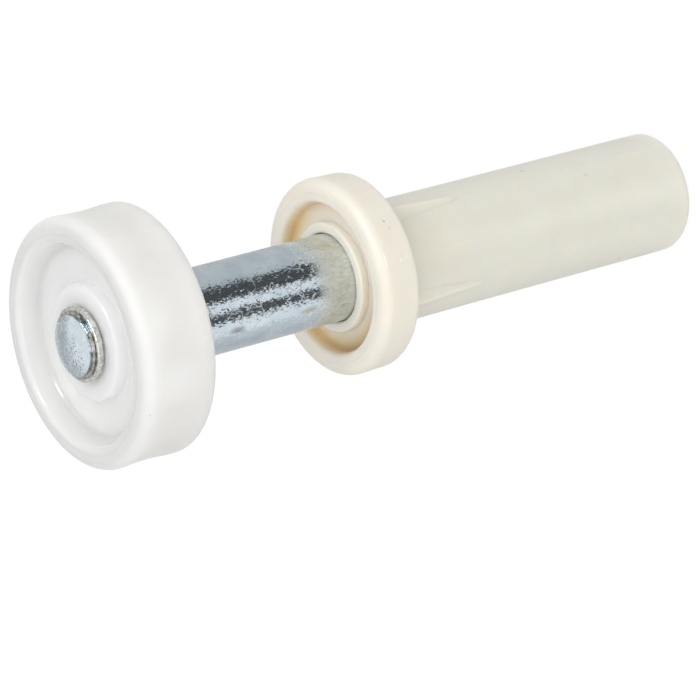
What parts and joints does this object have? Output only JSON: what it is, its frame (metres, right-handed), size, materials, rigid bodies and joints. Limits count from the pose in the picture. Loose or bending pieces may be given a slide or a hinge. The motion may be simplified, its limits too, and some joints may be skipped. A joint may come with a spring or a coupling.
{
  "type": "bifold door guide wheel",
  "caption": "Spring-loaded guide wheel for a bifold door: nylon wheel on a sliding steel pin in a flanged nylon sleeve.",
  "frame": {"origin": "on the axis, in the plane of the flange's underside, which seats on the door's edge", "axes": "+Z along the axis from the sleeve to the wheel; +X and +Y each pass through a crush rib"},
  "size_m": [0.0222, 0.0222, 0.0651],
  "materials": {
    "wheel_nylon": "satin",
    "zinc_steel": "bright zinc plate",
    "washer_steel": "satin",
    "ring_steel": "satin",
    "sleeve_nylon": "satin",
    "spring_steel": "drawn"
  },
  "bodies": {
    "sleeve": {"sleeve": "sleeve_nylon"},
    "spring": {"spring": "spring_steel"},
    "pin": {"guide_pin": "zinc_steel", "washer": "washer_steel", "retaining_ring": "ring_steel"},
    "wheel": {"wheel": "wheel_nylon"}
  },
  "joints": [
    {"name": "pin_turn", "type": "hinge", "parent": "sleeve", "child": "spring", "pos_m": [0, 0, 0], "axis": [0, 0, 1], "continuous": true},
    {"name": "pin_slide", "type": "slide", "parent": "spring", "child": "pin", "axis": [0, 0, 1], "range_m": [-0.0095, 0], "stiffness_N_per_m": 1700, "springref_m": 0.003, "deforming": ["spring"]},
    {"name": "wheel_spin", "type": "hinge", "parent": "pin", "child": "wheel", "pos_m": [0, 0, 0.0268], "axis": [0, 0, 1], "continuous": true}
  ]
}
